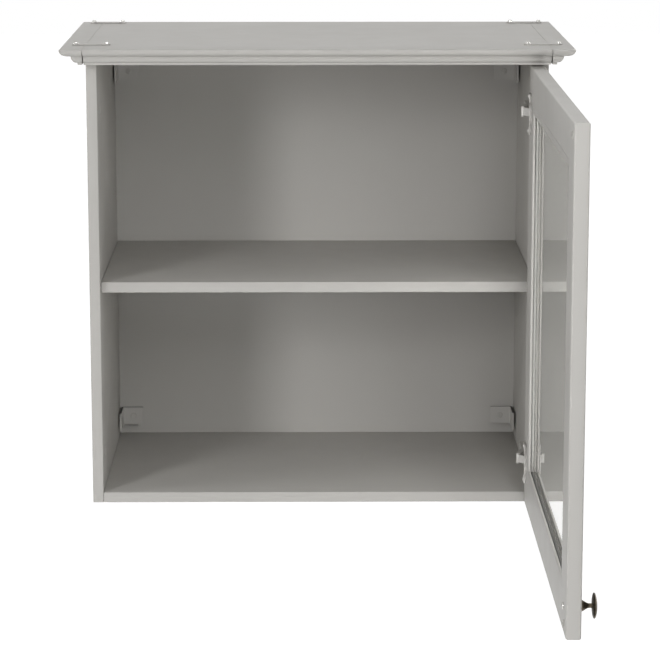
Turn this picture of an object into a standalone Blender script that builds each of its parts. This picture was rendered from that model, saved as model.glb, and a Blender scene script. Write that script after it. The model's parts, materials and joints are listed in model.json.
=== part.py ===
"""Kitchen wall cabinet: a lacquered carcass with one shelf, a moulded cornice and a glazed door.

Metres, +Z up. The origin is on the wall plane at the middle of the back, and the front faces -Y.
Every piece is its own closed solid. The door hangs on an empty at the hinge line, turned to its open angle.
"""
from math import copysign, cos, radians, sin

import bmesh
import bpy
from mathutils import Matrix, Vector

# Carcass
CARCASS_WIDTH = 0.600
CARCASS_HEIGHT = 0.588
CARCASS_DEPTH = 0.345
BOARD = 0.014
BACK_PANEL = 0.004
BACK_REBATE = 0.007
BOARD_EDGE_ROUND = 0.0008
SEAT_GAP = 0.0003
HOLE_COVER = 0.005
DOWEL_RADIUS = 0.004
DOWEL_REACH = 0.013
DOWEL_INSET = 0.060

# Shelf, its pins and the caps over the spare hinge holes
SHELF_UNDERSIDE = 0.283
SHELF_SETBACK = 0.012
SHELF_SIDE_GAP = 0.0006
PEG_RADIUS = 0.0025
PIN_HEAD_RADIUS = 0.0034
PIN_HEAD_LENGTH = 0.009
PIN_INSET = 0.050
CAP_RADIUS = 0.008
CAP_HEIGHT = 0.0016
CAP_SETBACK = 0.043

# Top board and cornice: the moulding is set out from the face of its lower fillet
CORNICE_HEIGHT = 0.022
CORNICE_FRONT = 0.030
CORNICE_SIDE = 0.008
CORNICE_SEAM = 0.0003
SEAM_DRAFT = 0.0020
FILLET_HEIGHT = 0.003
FILLET_STEP = 0.0008
OVOLO_WIDTH = 0.0072
OVOLO_HEIGHT = 0.009
BULGE_STEP = 0.002
BULGE_WIDTH = 0.012
NOSING_RADIUS = 0.0016

# Flat plates and round-head screws that tie the cornice returns to the top board
PLATE_LENGTH = 0.050
PLATE_WIDTH = 0.011
PLATE_CORNER = 0.005
PLATE_THICKNESS = 0.0015
PLATE_PITCH = 0.040
PLATE_SCREW_OUTSIDE = 0.0125
PLATE_FRONT_SETBACK = 0.058
PLATE_REAR_SETBACK = 0.022
SCREW_RADIUS = 0.0018
SCREW_LENGTH = 0.012
SCREW_HEAD_RADIUS = 0.0034
SCREW_HEAD_HEIGHT = 0.0026

# Wall brackets in the four rear corners
BRACKET_HEIGHT = 0.025
BRACKET_BACK_LEG = 0.034
BRACKET_SIDE_LEG = 0.050
BRACKET_SHEET = 0.002
BRACKET_STANDOFF = 0.0016
BRACKET_INSET = 0.0145
BRACKET_UPPER_INSET = 0.034
BRACKET_HOLE_RADIUS = 0.0025
BRACKET_WALL_HOLE = 0.020
BRACKET_SIDE_HOLE = 0.030

# Door frame
DOOR_THICKNESS = 0.018
DOOR_SIDE_REVEAL = 0.0015
DOOR_BOTTOM_REVEAL = 0.002
DOOR_TOP_REVEAL = 0.003
DOOR_CLOSED_GAP = 0.003
DOOR_OPEN_DEG = 90.0
DOOR_EDGE_ROUND = 0.0025
STILE_WIDTH = 0.060
RAIL_WIDTH = 0.057
GLASS = 0.004
GLASS_PLAY = 0.0006
BEAD_DEPTH = 0.0073
BEAD_WIDTH = 0.0094
BEAD_ROUND = 0.0026
BEAD_FACE = 0.0030
BEAD_QUIRK = 0.0017
BEAD_QUIRK_DEPTH = 0.0045
BEAD_SETBACK = 0.0008
LIP_EDGE = 0.002
MOULD_WIDTH = 0.009
MOULD_QUIRK = 0.001

# Hinge line, measured from the outer side and the front of the carcass
AXIS_INSET = 0.011
AXIS_FORWARD = 0.017

# Concealed hinges
HINGE_INSET = 0.060
CUP_RADIUS = 0.0175
CUP_DEPTH = 0.0115
CUP_WALL = 0.0009
CUP_INSET = 0.0215
FLANGE_LENGTH = 0.053
FLANGE_WIDTH = 0.022
FLANGE_CORNER = 0.0065
FLANGE_THICKNESS = 0.0012
FLANGE_RIM = 0.0012
LINK_PIVOT_BEHIND_AXIS = 0.0096
LINK_PIVOT_BESIDE_AXIS = 0.0226
LINK_LENGTH = 0.0175
LINK_REST_DEG = -49.0
LINK_HALF_HEIGHT = 0.0054
LINK_SHEET = 0.0024
LINK_EYE = 0.0026
LINK_TIP = 0.0019
LINK_PIN = 0.0012
ARM_CHEEK = 0.0009
ARM_REAR = 0.062
ARM_BACK_HEIGHT = 0.013
ARM_FOOT = 0.003
ARM_WALL = 0.0012
ARM_NECK_START = 0.022
ARM_NOSE = 0.003
ARM_NOSE_TANGENT_DEG = 65
ARM_CHAMFER = 0.003
MOUNT_SETBACK = 0.037
MOUNT_LENGTH = 0.046
MOUNT_WIDTH = 0.014
MOUNT_CORNER = 0.005
MOUNT_BASE = 0.002
MOUNT_RAIL_HEIGHT = 0.009
MOUNT_RAIL_START = 0.016

# Knob, its screw and the door's bumpers
KNOB_RADIUS = 0.015
KNOB_PROJECTION = 0.020
KNOB_CROWN = 0.0036
KNOB_UNDERCUT = 0.0024
KNOB_NECK = 0.00265
KNOB_BASE = 0.00725
KNOB_BASE_RIM = 0.0030
KNOB_FLARE = 0.0062
KNOB_SOCKET = 0.0045
KNOB_INSET = 0.030
KNOB_RISE = 0.031
KNOB_SCREW_RADIUS = 0.0020
KNOB_SCREW_HEAD = 0.0040
KNOB_SCREW_HEAD_HEIGHT = 0.0018
BUMPER_RADIUS = 0.0045
BUMPER_HEIGHT = 0.0020
BUMPER_INSET = 0.015

# Planes and places that follow from the sizes
SIDE_X = CARCASS_WIDTH / 2
INNER_X = SIDE_X - BOARD
FRONT_Y = -CARCASS_DEPTH
BOTTOM_Z = -CARCASS_HEIGHT / 2
TOP_Z = CARCASS_HEIGHT / 2
BACK_Y = -BACK_PANEL
PEG_LENGTH = BOARD - HOLE_COVER
AXIS = Vector((SIDE_X - AXIS_INSET, FRONT_Y - AXIS_FORWARD, 0.0))
DOOR_WIDTH = CARCASS_WIDTH - 2 * DOOR_SIDE_REVEAL
DOOR_BOTTOM = BOTTOM_Z + DOOR_BOTTOM_REVEAL
DOOR_TOP = TOP_Z - DOOR_TOP_REVEAL
DOOR_HEIGHT = DOOR_TOP - DOOR_BOTTOM
DOOR_MIDDLE = (DOOR_TOP + DOOR_BOTTOM) / 2
DOOR_EDGE = AXIS_INSET - DOOR_SIDE_REVEAL
DOOR_FREE_EDGE = DOOR_EDGE - DOOR_WIDTH
DOOR_FACE = AXIS_FORWARD - DOOR_CLOSED_GAP
DOOR_OUTER = DOOR_FACE - DOOR_THICKNESS
REBATE_DEPTH = BEAD_DEPTH + GLASS + 2 * SEAT_GAP
REBATE_WIDTH = BEAD_WIDTH + 2 * SEAT_GAP
MOULD_DEPTH = DOOR_THICKNESS - REBATE_DEPTH - LIP_EDGE
HINGE_HEIGHTS = {"lower": DOOR_BOTTOM + HINGE_INSET, "upper": DOOR_TOP - HINGE_INSET}
ARM_HALF_HEIGHT = LINK_HALF_HEIGHT + SEAT_GAP + ARM_CHEEK
LINK_PIVOT = AXIS + Vector((-LINK_PIVOT_BESIDE_AXIS, LINK_PIVOT_BEHIND_AXIS, 0.0))
CORNICE_TOP = TOP_Z + CORNICE_HEIGHT
MOULDING_REACH = FILLET_STEP + OVOLO_WIDTH + BULGE_STEP + BULGE_WIDTH
BRACKET_FLOORS = {
    "lower": BOTTOM_Z + BOARD + BRACKET_INSET,
    "upper": TOP_Z - BRACKET_UPPER_INSET - BRACKET_HEIGHT,
}
SIDES = {"left": -1, "right": 1}

# Directions
X = Vector((1.0, 0.0, 0.0))
Y = Vector((0.0, 1.0, 0.0))
Z = Vector((0.0, 0.0, 1.0))

# Facets
ARC_STEPS = 6
SMALL_SEGMENTS = 12
PEG_SEGMENTS = 16
KNOB_SEGMENTS = 24
ROUND_SEGMENTS = 32
SMOOTH_BELOW_DEG = 35
SOFTEN_ABOVE_DEG = 40
WELD = 0.00001

# Overshoot of a cutter past the face it opens
CUT_PAST = 0.002


def clear_scene():
    for obj in list(bpy.data.objects):
        bpy.data.objects.remove(obj)


def new_collection(name):
    collection = bpy.data.collections.new(name)
    bpy.context.scene.collection.children.link(collection)
    return collection


def new_material(name, colour, roughness, metallic=0.0):
    material = bpy.data.materials.new(name)
    material.use_nodes = True
    shader = material.node_tree.nodes["Principled BSDF"]
    shader.inputs["Base Color"].default_value = (*colour, 1.0)
    shader.inputs["Roughness"].default_value = roughness
    shader.inputs["Metallic"].default_value = metallic
    return material


clear_scene()
PARTS = new_collection("kitchen_wall_cabinet")
CUTTERS = new_collection("cutters")
LACQUER = new_material("grey_lacquer", (0.50, 0.49, 0.46), 0.45)
BEECH = new_material("beech", (0.56, 0.38, 0.22), 0.60)
PAINT = new_material("grey_paint", (0.50, 0.49, 0.46), 0.40)
STEEL = new_material("zinc_plated_steel", (0.62, 0.61, 0.58), 0.30, 1.0)
NICKEL = new_material("nickel_plate", (0.66, 0.64, 0.60), 0.25, 1.0)
BRONZE = new_material("antique_bronze", (0.13, 0.09, 0.05), 0.35, 1.0)
GLAZING = new_material("clear_glass", (0.80, 0.84, 0.82), 0.05)
CLEAR_PLASTIC = new_material("clear_plastic", (0.75, 0.75, 0.72), 0.20)
GREY_PLASTIC = new_material("grey_plastic", (0.52, 0.51, 0.48), 0.40)


def frame(origin, x_axis, y_axis):
    """Matrix that lays an outline's x and y along two directions, its thickness along their cross product."""
    z_axis = x_axis.cross(y_axis)
    turn = Matrix((x_axis, y_axis, z_axis)).transposed().to_4x4()
    return Matrix.Translation(origin) @ turn


def add_part(name, mesh, material, matrix, parent=None):
    obj = bpy.data.objects.new(name, mesh)
    PARTS.objects.link(obj)
    obj.parent = parent
    obj.matrix_local = matrix
    mesh.materials.append(material)
    mesh.shade_smooth()
    mesh.set_sharp_from_angle(angle=radians(SMOOTH_BELOW_DEG))
    return obj


def add_cutter(name, mesh, matrix, parent=None):
    obj = bpy.data.objects.new(name, mesh)
    CUTTERS.objects.link(obj)
    obj.parent = parent
    obj.matrix_local = matrix
    obj.hide_render = True
    obj.display_type = 'WIRE'
    return obj


def soften(obj, width):
    bevel = obj.modifiers.new("soft_edges", 'BEVEL')
    bevel.width = width
    bevel.segments = 2
    bevel.limit_method = 'ANGLE'
    bevel.angle_limit = radians(SOFTEN_ABOVE_DEG)


def combine(obj, tool, operation='DIFFERENCE'):
    boolean = obj.modifiers.new(tool.name, 'BOOLEAN')
    boolean.operation = operation
    boolean.object = tool
    boolean.solver = 'EXACT'


def box_mesh(size):
    mesh = bpy.data.meshes.new("box")
    bm = bmesh.new()
    bmesh.ops.create_cube(bm, size=1.0, matrix=Matrix.Diagonal((*size, 1.0)))
    bm.to_mesh(mesh)
    bm.free()
    return mesh


def span_box(low, high):
    """Mesh and matrix of the box between two corners."""
    low, high = Vector(low), Vector(high)
    return box_mesh(high - low), Matrix.Translation((low + high) / 2)


def cylinder_mesh(radius, length, segments=PEG_SEGMENTS):
    mesh = bpy.data.meshes.new("cylinder")
    bm = bmesh.new()
    bmesh.ops.create_cone(bm, cap_ends=True, segments=segments, radius1=radius, radius2=radius, depth=length)
    bm.to_mesh(mesh)
    bm.free()
    return mesh


def rod(start, direction, length, radius, segments=PEG_SEGMENTS):
    """Mesh and matrix of a cylinder that starts at a point and runs along a direction."""
    turn = Z.rotation_difference(direction).to_matrix().to_4x4()
    middle = Matrix.Translation(start + direction * (length / 2))
    return cylinder_mesh(radius, length, segments), middle @ turn


def extruded_mesh(outline, length):
    """Closed prism of a flat outline, centred on its plane."""
    curve = bpy.data.curves.new("outline", 'CURVE')
    curve.dimensions = '2D'
    curve.fill_mode = 'BOTH'
    curve.extrude = length / 2
    spline = curve.splines.new('POLY')
    spline.points.add(len(outline) - 1)
    for point, (x, y) in zip(spline.points, outline):
        point.co = (x, y, 0.0, 1.0)
    spline.use_cyclic_u = True
    drawn = bpy.data.objects.new("outline", curve)
    bpy.context.scene.collection.objects.link(drawn)
    evaluated = drawn.evaluated_get(bpy.context.evaluated_depsgraph_get())
    mesh = bpy.data.meshes.new_from_object(evaluated)
    bpy.data.objects.remove(drawn)
    bm = bmesh.new()
    bm.from_mesh(mesh)
    bmesh.ops.remove_doubles(bm, verts=bm.verts, dist=WELD)
    bmesh.ops.recalc_face_normals(bm, faces=bm.faces)
    bm.to_mesh(mesh)
    bm.free()
    return mesh


def turned_part(name, profile, material, matrix, segments=PEG_SEGMENTS, parent=None):
    """Solid of revolution about its local Z; the profile holds (radius, height) pairs from top to bottom."""
    mesh = bpy.data.meshes.new(name)
    bm = bmesh.new()
    verts = [bm.verts.new((radius, 0.0, height)) for radius, height in profile]
    for upper, lower in zip(verts, verts[1:]):
        bm.edges.new((upper, lower))
    bm.to_mesh(mesh)
    bm.free()
    obj = add_part(name, mesh, material, matrix, parent)
    screw = obj.modifiers.new("turning", 'SCREW')
    screw.steps = segments
    screw.render_steps = segments
    screw.use_merge_vertices = True
    screw.merge_threshold = WELD
    return obj


def arc(centre, radii, start_deg, end_deg, steps=ARC_STEPS):
    """Points along part of an ellipse, both ends included."""
    points = []
    for step in range(steps + 1):
        angle = radians(start_deg + (end_deg - start_deg) * step / steps)
        points.append((centre[0] + radii[0] * cos(angle), centre[1] + radii[1] * sin(angle)))
    return points


def rounded_rectangle(length, width, radius):
    half_length, half_width = length / 2 - radius, width / 2 - radius
    outline = []
    for quarter, (side, end) in enumerate(((1, 1), (-1, 1), (-1, -1), (1, -1))):
        start = 90 * quarter
        outline += arc((side * half_length, end * half_width), (radius, radius), start, start + 90, 3)
    return outline


def dome(radius, height, foot=0.0):
    """Profile of a domed head from its top to its rim, standing on the height of its foot."""
    return arc((0.0, foot), (radius, height), 90, 0, 4)


def peg_hole(board, name, mouth, direction, depth, radius=PEG_RADIUS):
    mesh, matrix = rod(mouth - direction * CUT_PAST, direction, depth + CUT_PAST, radius + SEAT_GAP)
    combine(board, add_cutter(name, mesh, matrix, board.parent))


# Carcass

def side_panel(side_name):
    side = SIDES[side_name]
    rebate_x = INNER_X + BACK_REBATE
    rebate_y = BACK_Y - SEAT_GAP
    outline = [
        (SIDE_X, FRONT_Y), (SIDE_X, 0.0), (rebate_x, 0.0),
        (rebate_x, rebate_y), (INNER_X, rebate_y), (INNER_X, FRONT_Y),
    ]
    outline = [(side * x, y) for x, y in outline]
    height = CARCASS_HEIGHT - SEAT_GAP
    middle = Matrix.Translation(Z * (BOTTOM_Z + height / 2))
    panel = add_part(f"{side_name}_side_panel", extruded_mesh(outline, height), LACQUER, middle)
    soften(panel, BOARD_EDGE_ROUND)
    return panel


def bottom_panel():
    rebate = -BACK_Y + SEAT_GAP
    outline = [
        (0.0, 0.0), (CARCASS_DEPTH, 0.0), (CARCASS_DEPTH, BOARD),
        (rebate, BOARD), (rebate, BOARD - BACK_REBATE), (0.0, BOARD - BACK_REBATE),
    ]
    mesh = extruded_mesh(outline, 2 * (INNER_X - SEAT_GAP))
    panel = add_part("bottom_panel", mesh, LACQUER, frame(Z * BOTTOM_Z, -Y, Z))
    soften(panel, BOARD_EDGE_ROUND)
    return panel


def back_panel():
    half = INNER_X + BACK_REBATE - SEAT_GAP
    floor = BOTTOM_Z + BOARD - BACK_REBATE + SEAT_GAP
    mesh, matrix = span_box((-half, BACK_Y, floor), (half, 0.0, TOP_Z - SEAT_GAP))
    add_part("back_panel", mesh, LACQUER, matrix)


def shelf():
    half = INNER_X - SHELF_SIDE_GAP
    underside = BOTTOM_Z + SHELF_UNDERSIDE
    front = FRONT_Y + SHELF_SETBACK
    mesh, matrix = span_box((-half, front, underside), (half, BACK_Y - SEAT_GAP, underside + BOARD))
    soften(add_part("shelf", mesh, LACQUER, matrix), BOARD_EDGE_ROUND)


def shelf_pins(panels):
    """A stepped pin near each corner of the shelf, its peg in the side panel and its head under the shelf."""
    height = BOTTOM_Z + SHELF_UNDERSIDE - SEAT_GAP - PIN_HEAD_RADIUS
    places = {"front": FRONT_Y + SHELF_SETBACK + PIN_INSET, "rear": BACK_Y - PIN_INSET}
    profile = [
        (0.0, PIN_HEAD_LENGTH), (PIN_HEAD_RADIUS, PIN_HEAD_LENGTH), (PIN_HEAD_RADIUS, SEAT_GAP),
        (PEG_RADIUS, SEAT_GAP), (PEG_RADIUS, -PEG_LENGTH), (0.0, -PEG_LENGTH),
    ]
    for side_name, side in SIDES.items():
        for end, y in places.items():
            mouth = Vector((side * INNER_X, y, height))
            name = f"shelf_pin_{end}_{side_name}"
            turned_part(name, profile, STEEL, frame(mouth, Y, -Z * side), SMALL_SEGMENTS)
            peg_hole(panels[side_name], f"{name}_hole", mouth, X * side, PEG_LENGTH + SEAT_GAP)


def hinge_hole_caps(panel):
    """Push-in caps over the hinge holes that the left panel keeps for a door hung the other way."""
    profile = dome(CAP_RADIUS, CAP_HEIGHT, SEAT_GAP)
    profile += [(PEG_RADIUS, SEAT_GAP), (PEG_RADIUS, -PEG_LENGTH), (0.0, -PEG_LENGTH)]
    for level, height in HINGE_HEIGHTS.items():
        mouth = Vector((-INNER_X, FRONT_Y + CAP_SETBACK, height))
        turned_part(f"hinge_hole_cap_{level}", profile, GREY_PLASTIC, frame(mouth, Y, Z))
        peg_hole(panel, f"cap_{level}_hole", mouth, -X, PEG_LENGTH + SEAT_GAP)


def dowels(panels, bottom, top):
    """Beech dowels: two in each end of the bottom panel, two up from each side panel into the top board."""
    middle = BOARD / 2
    places = {"front": FRONT_Y + DOWEL_INSET, "rear": BACK_Y - DOWEL_INSET}
    for side_name, side in SIDES.items():
        for end, y in places.items():
            seat = Vector((side * INNER_X, y, BOTTOM_Z + middle))
            drive_dowel(f"bottom_dowel_{end}_{side_name}", seat, X * side, panels[side_name], bottom)
            seat = Vector((side * (INNER_X + middle), y, TOP_Z))
            drive_dowel(f"top_dowel_{end}_{side_name}", seat, -Z, panels[side_name], top)


def drive_dowel(name, seat, into_side, panel, other):
    """One dowel across the joint at a point, with its two holes."""
    start = seat - into_side * DOWEL_REACH
    mesh, matrix = rod(start, into_side, DOWEL_REACH + PEG_LENGTH, DOWEL_RADIUS, SMALL_SEGMENTS)
    add_part(name, mesh, BEECH, matrix)
    peg_hole(panel, f"{name}_side_hole", seat, into_side, PEG_LENGTH + SEAT_GAP, DOWEL_RADIUS)
    peg_hole(other, f"{name}_far_hole", seat, -into_side, DOWEL_REACH + SEAT_GAP, DOWEL_RADIUS)


# Top board and cornice

def cornice_outline(depth, draft=0.0):
    """Section of the moulding, outward from its lower fillet and up from its underside.

    The depth is what lies behind the fillet at the top; the draft is what is missing of it at the underside.
    """
    ovolo_top = FILLET_HEIGHT + OVOLO_HEIGHT
    ovolo_end = FILLET_STEP + OVOLO_WIDTH
    bulge_start = ovolo_end + BULGE_STEP
    bulge_top = CORNICE_HEIGHT - NOSING_RADIUS
    nosing = (MOULDING_REACH - NOSING_RADIUS, bulge_top)
    outline = [(draft - depth, 0.0), (0.0, 0.0), (0.0, FILLET_HEIGHT)]
    outline += arc((FILLET_STEP, ovolo_top), (OVOLO_WIDTH, OVOLO_HEIGHT), -90, 0)
    outline += arc((bulge_start, bulge_top), (BULGE_WIDTH, bulge_top - ovolo_top), -90, 0, 8)
    outline += arc(nosing, (NOSING_RADIUS, NOSING_RADIUS), 0, 90, 4)[1:]
    outline.append((-depth, CORNICE_HEIGHT))
    return outline


def top_board():
    depth = CARCASS_DEPTH + CORNICE_FRONT
    mesh = extruded_mesh(cornice_outline(depth), CARCASS_WIDTH)
    return add_part("top_board", mesh, LACQUER, frame(-Y * depth + Z * TOP_Z, -Y, Z))


def cornice_return(side_name):
    """Side strip of the cornice: its own moulding, cut by the front moulding to turn the corner."""
    side = SIDES[side_name]
    depth = CARCASS_DEPTH + CORNICE_FRONT
    length = depth + MOULDING_REACH
    face = Vector((side * (SIDE_X + CORNICE_SIDE), -length / 2, TOP_Z))
    mesh = extruded_mesh(cornice_outline(CORNICE_SIDE - CORNICE_SEAM, SEAM_DRAFT), length)
    strip = add_part(f"cornice_{side_name}", mesh, LACQUER, frame(face, X * side, Z))
    front = extruded_mesh(cornice_outline(depth + CUT_PAST), 2 * (CORNICE_SIDE + MOULDING_REACH + CUT_PAST))
    place = frame(Vector((side * SIDE_X, -depth, TOP_Z)), -Y, Z)
    combine(strip, add_cutter(f"cornice_front_{side_name}", front, place), 'INTERSECT')
    return strip


def cornice_ties(strips, board):
    """Four flat plates across the seams, each held by a screw in the strip and one in the board."""
    rows = {
        "front": FRONT_Y - CORNICE_FRONT - MOULDING_REACH + PLATE_FRONT_SETBACK,
        "rear": -PLATE_REAR_SETBACK,
    }
    plate_outline = rounded_rectangle(PLATE_LENGTH, PLATE_WIDTH, PLATE_CORNER)
    plate_z = CORNICE_TOP + SEAT_GAP + PLATE_THICKNESS / 2
    head_z = CORNICE_TOP + PLATE_THICKNESS + 2 * SEAT_GAP
    profile = dome(SCREW_HEAD_RADIUS, SCREW_HEAD_HEIGHT)
    profile += [(SCREW_RADIUS, 0.0), (SCREW_RADIUS, -SCREW_LENGTH), (0.0, -SCREW_LENGTH)]
    depth = SCREW_LENGTH + SEAT_GAP
    outside = SIDE_X + PLATE_SCREW_OUTSIDE
    inside = outside - PLATE_PITCH
    for side_name, side in SIDES.items():
        for end, y in rows.items():
            name = f"{end}_{side_name}"
            middle = Matrix.Translation((side * (inside + outside) / 2, y, plate_z))
            mesh = extruded_mesh(plate_outline, PLATE_THICKNESS)
            plate = add_part(f"cornice_plate_{name}", mesh, PAINT, middle)
            for held, holder, x in (("strip", strips[side_name], outside), ("board", board, inside)):
                seat = Vector((side * x, y, head_z))
                screw = f"cornice_screw_{name}_{held}"
                turned_part(screw, profile, STEEL, Matrix.Translation(seat), SMALL_SEGMENTS)
                for piece in (plate, holder):
                    peg_hole(piece, f"{screw}_in_{piece.name}", seat, -Z, depth, SCREW_RADIUS)


# Wall brackets

def wall_bracket(side_name, level):
    """Folded angle: one leg against the back panel, the other standing just off the side panel."""
    side = SIDES[side_name]
    bend = BRACKET_SHEET
    outline = [(BRACKET_BACK_LEG, 0.0), (BRACKET_BACK_LEG, BRACKET_SHEET)]
    outline += arc((BRACKET_STANDOFF + BRACKET_SHEET + bend, BRACKET_SHEET + bend), (bend, bend), 270, 180, 3)
    outline += [(BRACKET_STANDOFF + BRACKET_SHEET, BRACKET_SIDE_LEG), (BRACKET_STANDOFF, BRACKET_SIDE_LEG)]
    outline += arc((BRACKET_STANDOFF + bend, bend), (bend, bend), 180, 270, 3)
    corner = Vector((side * INNER_X, BACK_Y - SEAT_GAP, BRACKET_FLOORS[level] + BRACKET_HEIGHT / 2))
    mesh = extruded_mesh(outline, BRACKET_HEIGHT)
    name = f"wall_bracket_{level}_{side_name}"
    bracket = add_part(name, mesh, PAINT, frame(corner, -X * side, -Y))
    wall_hole = corner - X * side * BRACKET_WALL_HOLE - Y * BRACKET_SHEET
    side_hole = corner - X * side * (BRACKET_STANDOFF + BRACKET_SHEET) - Y * BRACKET_SIDE_HOLE
    depth = BRACKET_SHEET + CUT_PAST
    peg_hole(bracket, f"{name}_wall_hole", wall_hole, Y, depth, BRACKET_HOLE_RADIUS)
    peg_hole(bracket, f"{name}_side_hole", side_hole, X * side, depth, BRACKET_HOLE_RADIUS)


# Concealed hinges on the right side panel

def hinge_mounting_plate(level, height):
    """Screw-on base with a raised rail that the arm slides over."""
    base_x = INNER_X - SEAT_GAP - MOUNT_BASE / 2
    mesh = extruded_mesh(rounded_rectangle(MOUNT_LENGTH, MOUNT_WIDTH, MOUNT_CORNER), MOUNT_BASE)
    place = frame(Vector((base_x, FRONT_Y + MOUNT_SETBACK, height)), Z, Y)
    plate = add_part(f"hinge_mounting_plate_{level}", mesh, NICKEL, place)
    half = ARM_HALF_HEIGHT - ARM_WALL - SEAT_GAP
    mesh, matrix = span_box(
        (INNER_X - MOUNT_RAIL_HEIGHT, FRONT_Y + MOUNT_RAIL_START, height - half),
        (base_x, FRONT_Y + ARM_REAR, height + half),
    )
    combine(plate, add_cutter(f"mount_rail_{level}", mesh, matrix), 'UNION')


def hinge_arm(level, height):
    """Channel that runs over the rail, its forked nose carrying the link's pin in front of the carcass."""
    nose = (LINK_PIVOT.y - FRONT_Y, INNER_X - LINK_PIVOT.x)
    outline = [
        (ARM_REAR, ARM_FOOT), (ARM_REAR, ARM_BACK_HEIGHT - ARM_CHAMFER),
        (ARM_REAR - ARM_CHAMFER, ARM_BACK_HEIGHT), (ARM_NECK_START, ARM_BACK_HEIGHT),
    ]
    outline += arc(nose, (ARM_NOSE, ARM_NOSE), ARM_NOSE_TANGENT_DEG, 270, 8)
    outline += [(MOUNT_RAIL_START - ARM_CHAMFER, ARM_FOOT + ARM_CHAMFER), (MOUNT_RAIL_START, ARM_FOOT)]
    wall_line = Vector((INNER_X, FRONT_Y, height))
    mesh = extruded_mesh(outline, 2 * ARM_HALF_HEIGHT)
    arm = add_part(f"hinge_arm_{level}", mesh, NICKEL, frame(wall_line, Y, -X))
    half = ARM_HALF_HEIGHT - ARM_WALL
    mesh, matrix = span_box(
        (INNER_X - MOUNT_RAIL_HEIGHT - SEAT_GAP, FRONT_Y + MOUNT_RAIL_START - SEAT_GAP, height - half),
        (INNER_X, FRONT_Y + ARM_REAR + CUT_PAST, height + half),
    )
    combine(arm, add_cutter(f"arm_channel_{level}", mesh, matrix))
    half = LINK_HALF_HEIGHT + SEAT_GAP
    pivot = Vector((LINK_PIVOT.x, LINK_PIVOT.y, height))
    reach = ARM_NOSE + CUT_PAST
    mesh, matrix = span_box(
        pivot - Vector((reach, reach, half)), pivot + Vector((reach, LINK_EYE + 2 * SEAT_GAP, half)),
    )
    combine(arm, add_cutter(f"arm_fork_{level}", mesh, matrix))
    half = ARM_HALF_HEIGHT - SEAT_GAP
    mesh, matrix = rod(pivot - Z * half, Z, 2 * half, LINK_PIN, SMALL_SEGMENTS)
    combine(arm, add_cutter(f"arm_pin_{level}", mesh, matrix), 'UNION')


def hinge_link(level, height, pivot_line):
    """Folded link with a rolled eye on the arm's pin and a knuckle that stays inside the cup."""
    turn = Matrix.Rotation(radians(LINK_REST_DEG), 4, 'Z')
    lift = Matrix.Translation((0, 0, height))
    web = box_mesh((LINK_LENGTH, LINK_SHEET, 2 * (LINK_HALF_HEIGHT - SEAT_GAP)))
    reach = Matrix.Translation((LINK_LENGTH / 2, 0, 0))
    link = add_part(f"hinge_link_{level}", web, NICKEL, lift @ turn @ reach, pivot_line)
    for name, distance, radius in (("eye", 0.0, LINK_EYE), ("knuckle", LINK_LENGTH, LINK_TIP)):
        mesh = cylinder_mesh(radius, 2 * LINK_HALF_HEIGHT)
        matrix = lift @ turn @ Matrix.Translation((distance, 0, 0))
        combine(link, add_cutter(f"link_{name}_{level}", mesh, matrix, pivot_line), 'UNION')
    bore = cylinder_mesh(LINK_PIN + SEAT_GAP, 2 * (LINK_HALF_HEIGHT + CUT_PAST), SMALL_SEGMENTS)
    combine(link, add_cutter(f"link_bore_{level}", bore, lift, pivot_line))


def hinge_cup(level, height, stile, door):
    """Pressed cup in the stile's bore, its winged flange notched where the open link lies."""
    centre = Vector((DOOR_EDGE - CUP_INSET, DOOR_FACE + SEAT_GAP, height))
    flange = extruded_mesh(rounded_rectangle(FLANGE_LENGTH, FLANGE_WIDTH, FLANGE_CORNER), FLANGE_THICKNESS)
    place = frame(centre + Y * (FLANGE_THICKNESS / 2), Z, X)
    cup = add_part(f"hinge_cup_{level}", flange, NICKEL, place, door)
    rim = rod(centre, Y, FLANGE_THICKNESS, CUP_RADIUS + FLANGE_RIM, ROUND_SEGMENTS)
    pot_mouth = FLANGE_THICKNESS - SEAT_GAP
    pot = rod(centre + Y * pot_mouth, -Y, CUP_DEPTH + pot_mouth, CUP_RADIUS, ROUND_SEGMENTS)
    above = FLANGE_THICKNESS + CUT_PAST
    cavity_depth = above + CUP_DEPTH - CUP_WALL
    cavity = rod(centre + Y * above, -Y, cavity_depth, CUP_RADIUS - CUP_WALL, ROUND_SEGMENTS)
    combine(cup, add_cutter(f"cup_rim_{level}", *rim, door), 'UNION')
    combine(cup, add_cutter(f"cup_pot_{level}", *pot, door), 'UNION')
    combine(cup, add_cutter(f"cup_cavity_{level}", *cavity, door))
    half = LINK_HALF_HEIGHT + SEAT_GAP
    reach = CUP_RADIUS + FLANGE_RIM + CUT_PAST
    notch = span_box(centre - Vector((0.0, SEAT_GAP, half)), centre + Vector((reach, above, half)))
    combine(cup, add_cutter(f"cup_notch_{level}", *notch, door))
    bore_depth = CUP_DEPTH + SEAT_GAP + CUT_PAST
    bore = rod(centre + Y * CUT_PAST, -Y, bore_depth, CUP_RADIUS + SEAT_GAP, ROUND_SEGMENTS)
    combine(stile, add_cutter(f"cup_bore_{level}", *bore, door))


# Door, laid out closed about the hinge line

def sticking(width):
    """The moulded edge of a frame piece of some width, from its lip up to the quirk."""
    return arc(
        (width - MOULD_WIDTH, DOOR_THICKNESS - MOULD_DEPTH), (MOULD_WIDTH, MOULD_DEPTH - MOULD_QUIRK), 0, 90)


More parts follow.
